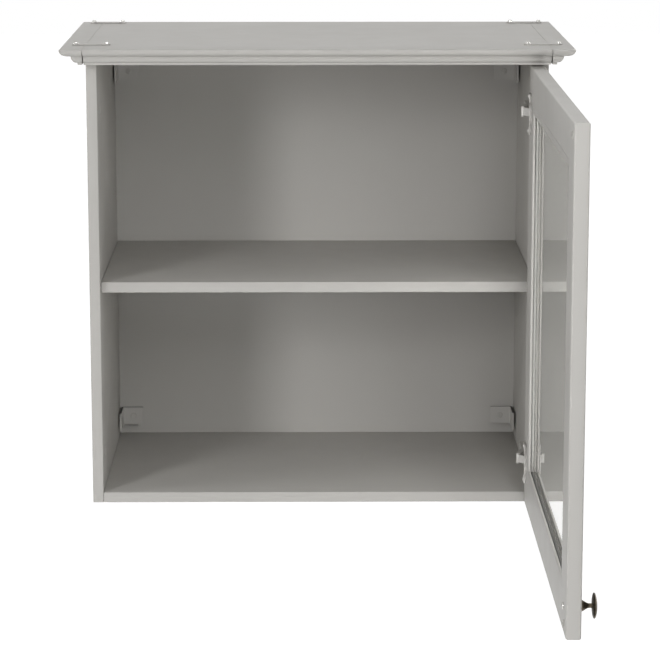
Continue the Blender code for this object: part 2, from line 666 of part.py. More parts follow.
def frame_outline(width):
    """Section of a stile or rail: inward from the outer edge and outward from the inner face."""
    edge = (DOOR_EDGE_ROUND, DOOR_EDGE_ROUND)
    outline = arc(edge, edge, 180, 270, 4)
    outline += [(width - REBATE_WIDTH, 0.0), (width - REBATE_WIDTH, REBATE_DEPTH), (width, REBATE_DEPTH)]
    outline += sticking(width)
    outline.append((width - MOULD_WIDTH, DOOR_THICKNESS))
    outline += arc((DOOR_EDGE_ROUND, DOOR_THICKNESS - DOOR_EDGE_ROUND), edge, 90, 180, 4)
    return outline


def cope_outline():
    """The stile's lip and moulding with clearance beside it, which the rail's end is cut to fit."""
    lip = STILE_WIDTH + SEAT_GAP
    behind = STILE_WIDTH - REBATE_WIDTH - CUT_PAST
    outline = [(behind, REBATE_DEPTH - SEAT_GAP), (lip, REBATE_DEPTH - SEAT_GAP)]
    outline += sticking(lip)
    outline += [(lip - MOULD_WIDTH, DOOR_THICKNESS + CUT_PAST), (behind, DOOR_THICKNESS + CUT_PAST)]
    return outline


def end_outline():
    """Side view of the door: outward from its inner face and up from its middle, with rounded corners."""
    edge = (DOOR_EDGE_ROUND, DOOR_EDGE_ROUND)
    high = DOOR_HEIGHT / 2 - DOOR_EDGE_ROUND
    far = DOOR_THICKNESS - DOOR_EDGE_ROUND
    outline = arc((far, high), edge, 0, 90, 4) + arc((DOOR_EDGE_ROUND, high), edge, 90, 180, 4)
    outline += arc((DOOR_EDGE_ROUND, -high), edge, 180, 270, 4) + arc((far, -high), edge, 270, 360, 4)
    return outline


def door_stiles(door):
    """Full-height stiles, rounded at their ends like the outer edges of the rails."""
    stiles = {}
    for name, edge, inward in (("hinge", DOOR_EDGE, -X), ("free", DOOR_FREE_EDGE, X)):
        mesh = extruded_mesh(frame_outline(STILE_WIDTH), DOOR_HEIGHT + 2 * CUT_PAST)
        middle = Vector((edge, DOOR_FACE, DOOR_MIDDLE))
        stile = add_part(f"door_stile_{name}", mesh, LACQUER, frame(middle, inward, -Y), door)
        ends = extruded_mesh(end_outline(), 2 * (STILE_WIDTH + CUT_PAST))
        combine(stile, add_cutter(f"stile_ends_{name}", ends, frame(middle, -Y, Z), door), 'INTERSECT')
        stiles[name] = stile
    return stiles


def door_rails(door):
    shoulder = STILE_WIDTH - REBATE_WIDTH + SEAT_GAP
    middle = (DOOR_EDGE + DOOR_FREE_EDGE) / 2
    copes = []
    for name, edge, inward in (("hinge", DOOR_EDGE, -X), ("free", DOOR_FREE_EDGE, X)):
        mesh = extruded_mesh(cope_outline(), DOOR_HEIGHT + 2 * CUT_PAST)
        place = frame(Vector((edge, DOOR_FACE, DOOR_MIDDLE)), inward, -Y)
        copes.append(add_cutter(f"cope_{name}", mesh, place, door))
    for name, edge, inward in (("bottom", DOOR_BOTTOM, Z), ("top", DOOR_TOP, -Z)):
        mesh = extruded_mesh(frame_outline(RAIL_WIDTH), DOOR_WIDTH - 2 * shoulder)
        place = frame(Vector((middle, DOOR_FACE, edge)), inward, -Y)
        rail = add_part(f"door_rail_{name}", mesh, LACQUER, place, door)
        for cope in copes:
            combine(rail, cope)


def bead_outline():
    """Section of a bead: rounded at the inner face, with a quirk between its face and its foot."""
    face = SEAT_GAP + BEAD_WIDTH
    quirk_floor = face - BEAD_QUIRK_DEPTH
    quirk_end = BEAD_FACE + BEAD_QUIRK
    foot = face - BEAD_SETBACK
    outline = [(SEAT_GAP, 0.0)] + arc((face - BEAD_ROUND, BEAD_ROUND), (BEAD_ROUND, BEAD_ROUND), -90, 0, 4)
    outline += [(face, BEAD_FACE), (quirk_floor, BEAD_FACE), (quirk_floor, quirk_end)]
    outline += [(foot, quirk_end), (foot, BEAD_DEPTH), (SEAT_GAP, BEAD_DEPTH)]
    return outline


def glazing(door):
    """Pane against the lip of the frame, held by four mitred beads."""
    middle = Vector(((DOOR_EDGE + DOOR_FREE_EDGE) / 2, 0.0, DOOR_MIDDLE))
    width = DOOR_WIDTH - 2 * (STILE_WIDTH - REBATE_WIDTH)
    height = DOOR_HEIGHT - 2 * (RAIL_WIDTH - REBATE_WIDTH)
    pane_y = DOOR_FACE - BEAD_DEPTH - SEAT_GAP - GLASS / 2
    mesh = box_mesh((width - 2 * GLASS_PLAY, GLASS, height - 2 * GLASS_PLAY))
    add_part("glass_pane", mesh, GLAZING, Matrix.Translation(middle + Y * pane_y), door)
    outline = bead_outline()
    beads = (
        ("bottom", width, -Z * (height / 2), Z), ("top", width, Z * (height / 2), -Z),
        ("hinge", height, X * (width / 2), -X), ("free", height, -X * (width / 2), X),
    )
    for name, length, shift, inward in beads:
        mesh = extruded_mesh(outline, length - 2 * SEAT_GAP)
        for vertex in mesh.vertices:
            vertex.co.z -= copysign(vertex.co.x, vertex.co.z)
        place = frame(middle + shift + Y * DOOR_FACE, inward, -Y)
        add_part(f"glazing_bead_{name}", mesh, LACQUER, place, door)


def knob(door, stile):
    """Turned mushroom knob with a lens-shaped disc, a thin neck and a flared foot, screwed on from inside."""
    disc_edge = KNOB_PROJECTION - KNOB_CROWN
    profile = arc((0.0, disc_edge), (KNOB_RADIUS, KNOB_CROWN), 90, 0)
    profile += arc((KNOB_NECK, disc_edge), (KNOB_RADIUS - KNOB_NECK, KNOB_UNDERCUT), 0, -90, 5)[1:]
    flare_top = KNOB_BASE_RIM + KNOB_FLARE
    profile += arc((KNOB_BASE, flare_top), (KNOB_BASE - KNOB_NECK, KNOB_FLARE), 180, 270)
    socket = KNOB_SCREW_RADIUS + SEAT_GAP
    profile += [(KNOB_BASE, 0.0), (socket, 0.0), (socket, KNOB_SOCKET), (0.0, KNOB_SOCKET)]
    place = Vector((DOOR_FREE_EDGE + KNOB_INSET, DOOR_OUTER - SEAT_GAP, DOOR_BOTTOM + KNOB_RISE))
    turned_part("knob", profile, BRONZE, frame(place, X, Z), KNOB_SEGMENTS, door)
    inside = Vector((place.x, DOOR_FACE + SEAT_GAP, place.z))
    reach = DOOR_THICKNESS + SEAT_GAP + KNOB_SOCKET
    screw = dome(KNOB_SCREW_HEAD, KNOB_SCREW_HEAD_HEIGHT)
    screw += [(KNOB_SCREW_RADIUS, 0.0), (KNOB_SCREW_RADIUS, -reach), (0.0, -reach)]
    turned_part("knob_screw", screw, STEEL, frame(inside, X, -Z), PEG_SEGMENTS, door)
    peg_hole(stile, "knob_screw_hole", inside, -Y, DOOR_THICKNESS + CUT_PAST, KNOB_SCREW_RADIUS)


def bumpers(door):
    profile = dome(BUMPER_RADIUS, BUMPER_HEIGHT) + [(0.0, 0.0)]
    for level, height in (("lower", DOOR_BOTTOM + BUMPER_INSET), ("upper", DOOR_TOP - BUMPER_INSET)):
        place = Vector((DOOR_FREE_EDGE + BUMPER_INSET, DOOR_FACE + SEAT_GAP, height))
        turned_part(f"door_bumper_{level}", profile, CLEAR_PLASTIC, frame(place, X, -Z), PEG_SEGMENTS, door)


# Assembly

def hinge_line(name, place, angle_deg=0.0):
    """Empty on a vertical joint axis, turned to the angle that its pieces rest at."""
    empty = bpy.data.objects.new(name, None)
    PARTS.objects.link(empty)
    empty.matrix_local = Matrix.Translation(place) @ Matrix.Rotation(radians(angle_deg), 4, 'Z')
    return empty


def build_carcass():
    panels = {side_name: side_panel(side_name) for side_name in SIDES}
    bottom = bottom_panel()
    board = top_board()
    strips = {side_name: cornice_return(side_name) for side_name in SIDES}
    back_panel()
    shelf()
    shelf_pins(panels)
    hinge_hole_caps(panels["left"])
    dowels(panels, bottom, board)
    cornice_ties(strips, board)
    for side_name in SIDES:
        for level in BRACKET_FLOORS:
            wall_bracket(side_name, level)


def build_door():
    door = hinge_line("door_axis", AXIS, DOOR_OPEN_DEG)
    links = hinge_line("hinge_link_axis", LINK_PIVOT)
    bpy.context.view_layer.update()
    stiles = door_stiles(door)
    door_rails(door)
    glazing(door)
    knob(door, stiles["free"])
    bumpers(door)
    for level, height in HINGE_HEIGHTS.items():
        hinge_mounting_plate(level, height)
        hinge_arm(level, height)
        hinge_link(level, height, links)
        hinge_cup(level, height, stiles["hinge"], door)


build_carcass()
build_door()
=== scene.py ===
"""Looks of the kitchen wall cabinet: finishes, small hardware, stage, light and camera."""

import json
from math import cos, pi, radians, sin

import bmesh
import bpy
from mathutils import Matrix, Vector

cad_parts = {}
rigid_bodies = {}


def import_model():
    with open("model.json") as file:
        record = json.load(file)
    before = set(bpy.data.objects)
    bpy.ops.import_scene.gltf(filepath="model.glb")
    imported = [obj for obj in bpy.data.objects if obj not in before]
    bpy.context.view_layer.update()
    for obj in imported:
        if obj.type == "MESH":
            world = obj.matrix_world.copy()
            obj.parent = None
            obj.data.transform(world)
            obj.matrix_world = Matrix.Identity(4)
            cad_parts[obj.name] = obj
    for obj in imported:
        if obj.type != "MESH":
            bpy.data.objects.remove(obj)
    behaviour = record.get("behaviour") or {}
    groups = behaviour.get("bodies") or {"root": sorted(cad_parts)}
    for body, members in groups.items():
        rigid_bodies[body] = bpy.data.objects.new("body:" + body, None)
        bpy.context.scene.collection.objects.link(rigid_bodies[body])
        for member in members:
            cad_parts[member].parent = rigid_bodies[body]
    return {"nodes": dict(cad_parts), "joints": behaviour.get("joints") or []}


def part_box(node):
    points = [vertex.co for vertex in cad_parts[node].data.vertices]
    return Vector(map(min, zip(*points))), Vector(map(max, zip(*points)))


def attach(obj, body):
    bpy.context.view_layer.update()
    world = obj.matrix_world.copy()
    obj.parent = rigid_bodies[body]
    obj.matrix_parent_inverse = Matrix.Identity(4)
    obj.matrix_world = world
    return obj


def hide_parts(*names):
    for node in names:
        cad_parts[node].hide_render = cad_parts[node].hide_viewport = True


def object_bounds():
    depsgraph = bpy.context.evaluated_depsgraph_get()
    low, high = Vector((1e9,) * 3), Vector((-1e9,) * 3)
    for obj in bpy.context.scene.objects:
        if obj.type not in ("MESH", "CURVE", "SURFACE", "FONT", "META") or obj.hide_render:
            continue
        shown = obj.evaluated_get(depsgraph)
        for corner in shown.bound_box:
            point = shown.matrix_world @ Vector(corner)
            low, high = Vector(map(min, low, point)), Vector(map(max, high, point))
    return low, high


for leftover in list(bpy.data.objects):
    bpy.data.objects.remove(leftover)
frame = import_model()
CAD_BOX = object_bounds()
NODES = frame["nodes"]
JOINTS = {joint["name"]: joint for joint in frame["joints"]}

# Directions, and the names of what comes in pairs
LEFTWARD = Vector((-1.0, 0.0, 0.0))
RIGHTWARD = Vector((1.0, 0.0, 0.0))
FORWARD = Vector((0.0, -1.0, 0.0))
REARWARD = Vector((0.0, 1.0, 0.0))
UPWARD = Vector((0.0, 0.0, 1.0))
DOWNWARD = Vector((0.0, 0.0, -1.0))
LEVELS = ("lower", "upper")
SIDES = (("left", -1), ("right", 1))

# Camera, read from the photograph's perspective
CAMERA_PLACE = (-0.014, -3.890, 0.660)
CAMERA_PITCH_DEG = 11.47
CAMERA_YAW_DEG = 0.49
CAMERA_LENS_MM = 149.5
SENSOR_MM = 36.0

# Stage and light
WHITE = (1.0, 1.0, 1.0, 1.0)
FLOOR_DROP = 2.2
FLOOR_SIZE = 60.0
FLOOR_GREY = 0.85
FLOOR_ROUGHNESS = 0.9
FLOOR_GLOW = 0.96
AMBIENT = 0.12
AIM = (0.0, -0.3, 0.0)
SOFTBOXES = {
    "left_softbox": {"place": (-2.7, -4.1, 1.05), "size": (0.8, 1.2), "power": 62.0},
    "right_softbox": {"place": (2.2, -4.2, 0.6), "size": (1.4, 1.6), "power": 21.5},
    "low_softbox": {"place": (0.0, -2.6, -1.9), "size": (2.0, 1.2), "power": 22.5},
    "top_softbox": {"place": (0.0, 0.35, 2.8), "size": (2.0, 1.2), "power": 30.0},
    "edge_softbox": {"place": (0.36, -2.0, 1.0), "size": (0.3, 0.8), "power": 8.0},
    "door_softbox": {"place": (-3.2, -1.0, 0.9), "size": (1.0, 1.0), "power": 17.0},
    "rear_left_softbox": {"place": (-2.4, 2.6, 0.2), "size": (1.4, 1.4), "power": 44.0},
    "rear_right_softbox": {"place": (3.0, 1.4, 0.2), "size": (1.4, 1.4), "power": 50.0},
}

# Screws: head radius, head height, shank radius and shank length
CORNICE_SCREW = (0.0034, 0.0026, 0.0018, 0.012)
PLATE_SCREW = (0.0032, 0.0018, 0.0016, 0.004)
FLANGE_SCREW = (0.0030, 0.0014, 0.0015, 0.003)
ARM_SCREW = (0.0027, 0.0003, 0.0015, 0.003)
KNOB_SCREW = (0.0040, 0.0018, 0.0020, 0.004)
BRACKET_SCREW = (0.0042, 0.0008, 0.0022, 0.010)
TURN_STEP_DEG = 37

# Cross recess, as shares of the head's radius and height
RECESS_LENGTH = 1.25
RECESS_WIDTH = 0.26
RECESS_DEPTH = 0.55

# Places of the hinge screws, and the link pin's head as radius and height
PLATE_BASE = 0.002
PLATE_SCREW_RISE = 0.017
PLATE_SCREW_FORWARD = 0.002
FLANGE_SCREW_RISE = 0.0223
ARM_SCREW_SETBACKS = (("rear", 0.011), ("front", 0.029))
ARM_BACK_HEIGHT = 0.013
PIN_HEAD = (0.0019, 0.0007)

# Folded wall brackets: sheet, gaps to the panels, outer bend and the screw's place along the back leg
SHEET = 0.0026
BRACKET_BACK_GAP = 0.0065
BRACKET_SIDE_GAP = 0.0026
BRACKET_BEND = 0.0040
BRACKET_SCREW_INSET = 0.020

# Raised edge of the hinge cup's flange: length, width, height, rim and mouth radii, and where it stops
FLANGE = (0.053, 0.022, 0.0016)
FLANGE_RIM_RADIUS = 0.0187
FLANGE_MOUTH_RADIUS = 0.0169
FLANGE_STOP = 0.004
FLANGE_ROUND = 0.0006
FLANGE_ROUND_SEGMENTS = 3
FLANGE_SEGMENTS = 48

# Rubber seal of the pane: sections as depth behind the door's inner face and rise over the bead's edge.
# Along the rails it also fills the bead's groove and is coloured dark as painted shade; along the stiles it
# is a lighter copy of the same rubber, as painted light
STILE_SEAL = ((0.0046, -0.0044), (0.0046, -0.0006), (0.0072, -0.0004), (0.0072, -0.0044))
RAIL_SEAL = ((0.0031, -0.0044), (0.0031, -0.0024), (0.0043, -0.0021), *STILE_SEAL[1:])

# Glue in the seams of the cornice, in the dark rubber colour painted as the seam's shade: section across and
# up from its top, depth below the top, setback
GLUE_SECTION = (
    (-0.00013, -0.0060), (-0.00013, -0.0003), (0.0, -0.0001), (0.00013, -0.0003), (0.00013, -0.0060),
)
GLUE_DEPTH = 0.0010
GLUE_SETBACK = 0.0080

# Knob, turned finer than the solid: lengths along its axis and radii
KNOB_CROWN = 0.0036
KNOB_UNDERCUT = 0.0024
KNOB_NECK = 0.00270
KNOB_FOOT = 0.00735
KNOB_FLARE = 0.0112
KNOB_SEGMENTS = 64

# Facets of curved forms, and smoothing of the faceted solids
TURNED_SEGMENTS = 32
DOME_STEPS = 6
ARC_STEPS = 8
BELL_STEPS = 14
WELD = 0.00001
SHARP_ABOVE_DEG = 32


def srgb(red, green, blue):
    """Linear colour of three display values from 0 to 255."""
    linear = []
    for value in (red, green, blue):
        share = value / 255
        linear.append(share / 12.92 if share <= 0.04045 else ((share + 0.055) / 1.055) ** 2.4)
    return (*linear, 1.0)


# Display colours of each finish, its dark shade before its light one
LACQUER_SHADES = (srgb(189, 187, 183), srgb(191, 189, 185))
PAINT_SHADES = (srgb(186, 184, 180), srgb(190, 188, 184))
# Dark colour painted on the bracket sheet's upper and lower edges as a shadow line
EDGE_SHADOW_SHADES = (srgb(38, 37, 35), srgb(58, 57, 54))
ZINC_SHADES = (srgb(178, 177, 173), srgb(200, 199, 195))
NICKEL_SHADES = (srgb(186, 184, 180), srgb(196, 194, 190))
BRONZE_SHADES = (srgb(54, 50, 42), srgb(96, 88, 76))
GLASS_SHADES = (srgb(205, 204, 199), srgb(209, 208, 203))
BUMPER_SHADES = (srgb(178, 176, 172), srgb(190, 188, 184))
CAP_SHADES = (srgb(184, 182, 178), srgb(191, 189, 185))
# Two copies of one grey rubber: the dark one is painted shade for the rail seals and the cornice seams, the
# light one painted light for the stile seals
PAINTED_SHADE_RUBBER_SHADES = (srgb(90, 89, 86), srgb(100, 99, 96))
PAINTED_LIGHT_RUBBER_SHADES = (srgb(164, 163, 159), srgb(174, 173, 169))
BEECH_SHADES = (srgb(190, 148, 104), srgb(216, 181, 140))

# Least and greatest roughness of each finish
LACQUER_ROUGHNESS = (0.46, 0.54)
PAINT_ROUGHNESS = (0.36, 0.46)
ZINC_ROUGHNESS = (0.22, 0.34)
NICKEL_ROUGHNESS = (0.28, 0.38)
BRONZE_ROUGHNESS = (0.30, 0.48)
BUMPER_ROUGHNESS = (0.50, 0.62)
CAP_ROUGHNESS = (0.38, 0.52)
RUBBER_ROUGHNESS = (0.60, 0.75)
BEECH_ROUGHNESS = (0.55, 0.75)

# Other properties of the finishes; the grain runs along the axis with the small share
LACQUER_SPECULAR = 0.10
NICKEL_METALLIC = 0.45
GLASS_IOR = 1.5
BUMPER_IOR = 1.15
BUMPER_CLARITY = 0.5
EVEN = (1.0, 1.0, 1.0)
ROLLED_ALONG_Y = (1.0, 0.15, 1.0)
ROLLED_ALONG_Z = (1.0, 1.0, 0.2)
WOOD_ALONG_Z = (1.0, 1.0, 0.1)

# Middle range of a noise, over which shades and roughness change
NOISE_LOW = 0.3
NOISE_HIGH = 0.7


# Material building blocks

def new_material(name):
    """Node material with its tree and its main shader."""
    material = bpy.data.materials.new(name)
    material.use_nodes = True
    tree = material.node_tree
    return material, tree, tree.nodes["Principled BSDF"]


def noise(tree, per_metre, detail=2.0, stretch=EVEN):
    """Noise fixed to the piece, with so many grains per metre."""
    place = tree.nodes.new("ShaderNodeTexCoord")
    mapping = tree.nodes.new("ShaderNodeMapping")
    texture = tree.nodes.new("ShaderNodeTexNoise")
    mapping.inputs["Scale"].default_value = stretch
    texture.inputs["Scale"].default_value = per_metre
    texture.inputs["Detail"].default_value = detail
    tree.links.new(place.outputs["Object"], mapping.inputs["Vector"])
    tree.links.new(mapping.outputs["Vector"], texture.inputs["Vector"])
    return texture.outputs["Fac"]


def shades(tree, factor, dark, light):
    """Colour that goes from a dark shade to a light one over the factor's middle range."""
    ramp = tree.nodes.new("ShaderNodeValToRGB")
    ramp.color_ramp.elements[0].position = NOISE_LOW
    ramp.color_ramp.elements[0].color = dark
    ramp.color_ramp.elements[1].position = NOISE_HIGH
    ramp.color_ramp.elements[1].color = light
    tree.links.new(factor, ramp.inputs["Fac"])
    return ramp.outputs["Color"]


def spread(tree, factor, low, high):
    """Number that goes from low to high over the factor's middle range."""
    span = tree.nodes.new("ShaderNodeMapRange")
    span.inputs["From Min"].default_value = NOISE_LOW
    span.inputs["From Max"].default_value = NOISE_HIGH
    span.inputs["To Min"].default_value = low
    span.inputs["To Max"].default_value = high
    tree.links.new(factor, span.inputs["Value"])
    return span.outputs["Result"]


def tint(tree, shader, factor, pair):
    tree.links.new(shades(tree, factor, *pair), shader.inputs["Base Color"])


def roughen(tree, shader, factor, limits):
    tree.links.new(spread(tree, factor, *limits), shader.inputs["Roughness"])


def add_bump(tree, shader, height, depth, strength):
    bump = tree.nodes.new("ShaderNodeBump")
    bump.inputs["Strength"].default_value = strength
    bump.inputs["Distance"].default_value = depth
    tree.links.new(height, bump.inputs["Height"])
    tree.links.new(bump.outputs["Normal"], shader.inputs["Normal"])


def orange_peel(tree, shader):
    """Fine skin that a sprayed coat dries to."""
    add_bump(tree, shader, noise(tree, per_metre=700.0), depth=0.0001, strength=0.03)


# Materials

def satin_lacquer(name, pair, roughness):
    """Sprayed lacquer: faint clouding, a fine orange-peel skin and an uneven satin sheen."""
    material, tree, shader = new_material(name)
    shader.inputs["Specular IOR Level"].default_value = LACQUER_SPECULAR
    tint(tree, shader, noise(tree, per_metre=5.0, detail=3.0), pair)
    roughen(tree, shader, noise(tree, per_metre=30.0), roughness)
    orange_peel(tree, shader)
    return material


def plated_metal(name, pair, roughness, rolling, metallic):
    """Plated steel with faint spangle and rolling marks along one direction."""
    material, tree, shader = new_material(name)
    shader.inputs["Metallic"].default_value = metallic
    tint(tree, shader, noise(tree, per_metre=240.0, detail=3.0), pair)
    roughen(tree, shader, noise(tree, per_metre=400.0, stretch=rolling), roughness)
    marks = noise(tree, per_metre=1500.0, stretch=rolling)
    add_bump(tree, shader, marks, depth=0.00003, strength=0.08)
    return material


def antique_bronze():
    """Dark patina that has worn to a browner metal in patches."""
    material, tree, shader = new_material("antique_bronze")
    shader.inputs["Metallic"].default_value = 1.0
    tint(tree, shader, noise(tree, per_metre=260.0, detail=4.0), BRONZE_SHADES)
    roughen(tree, shader, noise(tree, per_metre=500.0, detail=3.0), BRONZE_ROUGHNESS)
    add_bump(tree, shader, noise(tree, per_metre=900.0, detail=3.0), depth=0.0001, strength=0.15)
    return material


def clear_glass():
    """Float glass with a faint grey body and a trace of waviness."""
    material, tree, shader = new_material("float_glass")
    shader.inputs["Transmission Weight"].default_value = 1.0
    shader.inputs["IOR"].default_value = GLASS_IOR
    shader.inputs["Roughness"].default_value = 0.0
    tint(tree, shader, noise(tree, per_metre=3.0), GLASS_SHADES)
    add_bump(tree, shader, noise(tree, per_metre=6.0, detail=0.0), depth=0.0002, strength=0.02)
    return material


def clear_plastic():
    """Soft polyurethane: half clear, with a milky mottle and a matt skin."""
    material, tree, shader = new_material("clear_bumper")
    shader.inputs["Transmission Weight"].default_value = BUMPER_CLARITY
    shader.inputs["IOR"].default_value = BUMPER_IOR
    tint(tree, shader, noise(tree, per_metre=400.0), BUMPER_SHADES)
    roughen(tree, shader, noise(tree, per_metre=900.0), BUMPER_ROUGHNESS)
    return material


def grey_rubber(name, pair):
    """Extruded rubber: matt grey with a fine bloom."""
    material, tree, shader = new_material(name)
    tint(tree, shader, noise(tree, per_metre=200.0), pair)
    roughen(tree, shader, noise(tree, per_metre=600.0), RUBBER_ROUGHNESS)
    add_bump(tree, shader, noise(tree, per_metre=2000.0), depth=0.00005, strength=0.1)
    return material


def sheet_with_painted_edge_shadow():
    """Steel sheet painted on its faces; its edges above and below are coloured dark as a painted shadow line
    along the bracket's top and bottom.
    """
    material, tree, shader = new_material("sheet_with_painted_edge_shadow")
    place = tree.nodes.new("ShaderNodeTexCoord")
    parts = tree.nodes.new("ShaderNodeSeparateXYZ")
    # Faces that point up or down get the dark painted shadow colour
    size = tree.nodes.new("ShaderNodeMath")
    size.operation = 'ABSOLUTE'
    blend = tree.nodes.new("ShaderNodeMix")
    blend.data_type = 'RGBA'
    tree.links.new(place.outputs["Normal"], parts.inputs["Vector"])
    tree.links.new(parts.outputs["Z"], size.inputs[0])
    tree.links.new(spread(tree, size.outputs["Value"], 0.0, 1.0), blend.inputs["Factor"])
    paint = shades(tree, noise(tree, per_metre=5.0, detail=3.0), *PAINT_SHADES)
    # Painted shadow colour for the edges above and below
    steel = shades(tree, noise(tree, per_metre=300.0, detail=3.0), *EDGE_SHADOW_SHADES)
    tree.links.new(paint, blend.inputs["A"])
    tree.links.new(steel, blend.inputs["B"])
    tree.links.new(blend.outputs["Result"], shader.inputs["Base Color"])
    roughen(tree, shader, noise(tree, per_metre=30.0), PAINT_ROUGHNESS)
    orange_peel(tree, shader)
    return material


def moulded_plastic():
    """Moulded cap in the cabinet's grey, with a fine spark-eroded grain."""
    material, tree, shader = new_material("moulded_plastic")
    tint(tree, shader, noise(tree, per_metre=150.0), CAP_SHADES)
    roughen(tree, shader, noise(tree, per_metre=800.0), CAP_ROUGHNESS)
    add_bump(tree, shader, noise(tree, per_metre=2500.0), depth=0.00005, strength=0.2)
    return material


def beech():
    """Raw beech with grain along the dowel and dark ray flecks."""
    material, tree, shader = new_material("raw_beech")
    tint(tree, shader, noise(tree, per_metre=500.0, detail=4.0, stretch=WOOD_ALONG_Z), BEECH_SHADES)
    roughen(tree, shader, noise(tree, per_metre=900.0), BEECH_ROUGHNESS)
    return material


LACQUER = satin_lacquer("satin_lacquer", LACQUER_SHADES, LACQUER_ROUGHNESS)
PAINT = satin_lacquer("painted_steel", PAINT_SHADES, PAINT_ROUGHNESS)
ZINC = plated_metal("zinc_plate", ZINC_SHADES, ZINC_ROUGHNESS, ROLLED_ALONG_Z, 1.0)
NICKEL = plated_metal("nickel", NICKEL_SHADES, NICKEL_ROUGHNESS, ROLLED_ALONG_Y, NICKEL_METALLIC)
BRONZE = antique_bronze()
# Dark copy of the rubber painted as shade, light copy painted as lit rubber
PAINTED_SHADE_RUBBER = grey_rubber("rubber_painted_shade", PAINTED_SHADE_RUBBER_SHADES)
PAINTED_LIGHT_RUBBER = grey_rubber("rubber_painted_light", PAINTED_LIGHT_RUBBER_SHADES)
EDGE_SHADOWED_SHEET = sheet_with_painted_edge_shadow()

# Finish of each material slot in the record
FINISHES = {
    "grey_lacquer": LACQUER,
    "grey_paint": PAINT,
    "zinc_plated_steel": ZINC,
    "nickel_plate": NICKEL,
    "beech": beech(),
    "antique_bronze": BRONZE,
    "clear_glass": clear_glass(),
    "clear_plastic": clear_plastic(),
    "grey_plastic": moulded_plastic(),
}


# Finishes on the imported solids

def smoothing_group():
    """Node group that welds a solid's facets and shades them smooth up to an edge angle."""
    group = bpy.data.node_groups.new("smooth_facets", 'GeometryNodeTree')
    group.interface.new_socket("Geometry", in_out='INPUT', socket_type='NodeSocketGeometry')
    group.interface.new_socket("Geometry", in_out='OUTPUT', socket_type='NodeSocketGeometry')
    add = group.nodes.new
    start, end = add("NodeGroupInput"), add("NodeGroupOutput")
    plain = add("GeometryNodeRemoveAttribute")
    plain.inputs["Name"].default_value = "custom_normal"
    weld = add("GeometryNodeMergeByDistance")
    weld.inputs["Distance"].default_value = WELD
    smooth = add("GeometryNodeSetShadeSmooth")
    smooth.inputs["Shade Smooth"].default_value = True
    angle = add("GeometryNodeInputMeshEdgeAngle")
    steep = add("FunctionNodeCompare")
    steep.inputs["B"].default_value = radians(SHARP_ABOVE_DEG)
    crease = add("GeometryNodeSetShadeSmooth")
    crease.domain = 'EDGE'
    crease.inputs["Shade Smooth"].default_value = False
    link = group.links.new
    link(start.outputs["Geometry"], plain.inputs["Geometry"])
    link(plain.outputs["Geometry"], weld.inputs["Geometry"])
    link(weld.outputs["Geometry"], smooth.inputs["Geometry"])
    link(smooth.outputs["Geometry"], crease.inputs["Geometry"])
    link(angle.outputs["Unsigned Angle"], steep.inputs["A"])
    link(steep.outputs["Result"], crease.inputs["Selection"])
    link(crease.outputs["Geometry"], end.inputs["Geometry"])
    return group


def finish_solids():
    """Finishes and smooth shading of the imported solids; the clear ones let all light pass."""
    group = smoothing_group()
    for node in NODES.values():
        finish = FINISHES[node.material_slots[0].material.name]
        node.material_slots[0].material = finish
        node.modifiers.new("smooth_facets", 'NODES').node_group = group
    for name in ("glass_pane", "door_bumper_lower", "door_bumper_upper"):
        NODES[name].visible_shadow = False


# Mesh building blocks

def placed(name, data):
    """New object in the scene's collection."""
    obj = bpy.data.objects.new(name, data)
    bpy.context.scene.collection.objects.link(obj)
    return obj


def made_mesh(bm, name):
    """Mesh of a finished bmesh, which is freed."""
    mesh = bpy.data.meshes.new(name)
    bm.to_mesh(mesh)
    bm.free()
    return mesh


def with_modifiers(mesh, *settings):
    """Mesh with modifiers applied; each setting is a modifier type and its values."""
    obj = placed("workpiece", mesh)
    for kind, values in settings:
        modifier = obj.modifiers.new(kind, kind)
        for key, value in values.items():
            setattr(modifier, key, value)
    made = bpy.data.meshes.new_from_object(obj.evaluated_get(bpy.context.evaluated_depsgraph_get()))
    bpy.data.objects.remove(obj)
    return made


def boolean(other, operation):
    """Setting of a boolean modifier with another object."""
    return 'BOOLEAN', {"object": other, "operation": operation, "solver": 'EXACT'}


def shade(mesh):
    """Smooth shading up to an edge angle."""
    mesh.shade_smooth()
    mesh.set_sharp_from_angle(angle=radians(SHARP_ABOVE_DEG))
    return mesh


def quarter(centre, radii, turns_deg, steps=ARC_STEPS):
    """Points on an elliptical arc about a centre, from one angle to another."""
    points = []
    for step in range(steps + 1):
        angle = radians(turns_deg[0] + (turns_deg[1] - turns_deg[0]) * step / steps)
        points.append((centre[0] + radii[0] * cos(angle), centre[1] + radii[1] * sin(angle)))
    return points


def dome(radius, height):
    """Profile of a domed head from its top to its rim."""
    return quarter((0.0, 0.0), (radius, height), (90, 0), DOME_STEPS)


def bell(neck, foot, length):
    """Points down a flared foot that leaves its neck and meets the door without a corner."""
    points = []
    for step in range(BELL_STEPS + 1):
        share = step / BELL_STEPS
        points.append((neck + (foot - neck) * (1 - cos(pi * share)) / 2, length * (1 - share)))
    return points


def turned_mesh(profile, segments=TURNED_SEGMENTS):
    """Solid of revolution about Z from (radius, height) pairs, top to bottom."""
    bm = bmesh.new()
    corners = [bm.verts.new((radius, 0.0, height)) for radius, height in profile]
    for upper, lower in zip(corners, corners[1:]):
        bm.edges.new((upper, lower))
    turning = {
        "steps": segments, "render_steps": segments, "use_merge_vertices": True, "merge_threshold": WELD,
    }
    return with_modifiers(made_mesh(bm, "profile"), ('SCREW', turning))


def box_object(size, place):
    """Box to cut or join with."""
    bm = bmesh.new()
    bmesh.ops.create_cube(bm, size=1.0, matrix=Matrix.Translation(place) @ Matrix.Diagonal((*size, 1.0)))
    return placed("cutter", made_mesh(bm, "box"))


def disc_object(radius, height):
    """Round cutter that reaches past both faces of a plate of some height."""
    rim = [(0.0, 2 * height), (radius, 2 * height), (radius, -height), (0.0, -height)]
    return placed("cutter", turned_mesh(rim, FLANGE_SEGMENTS))


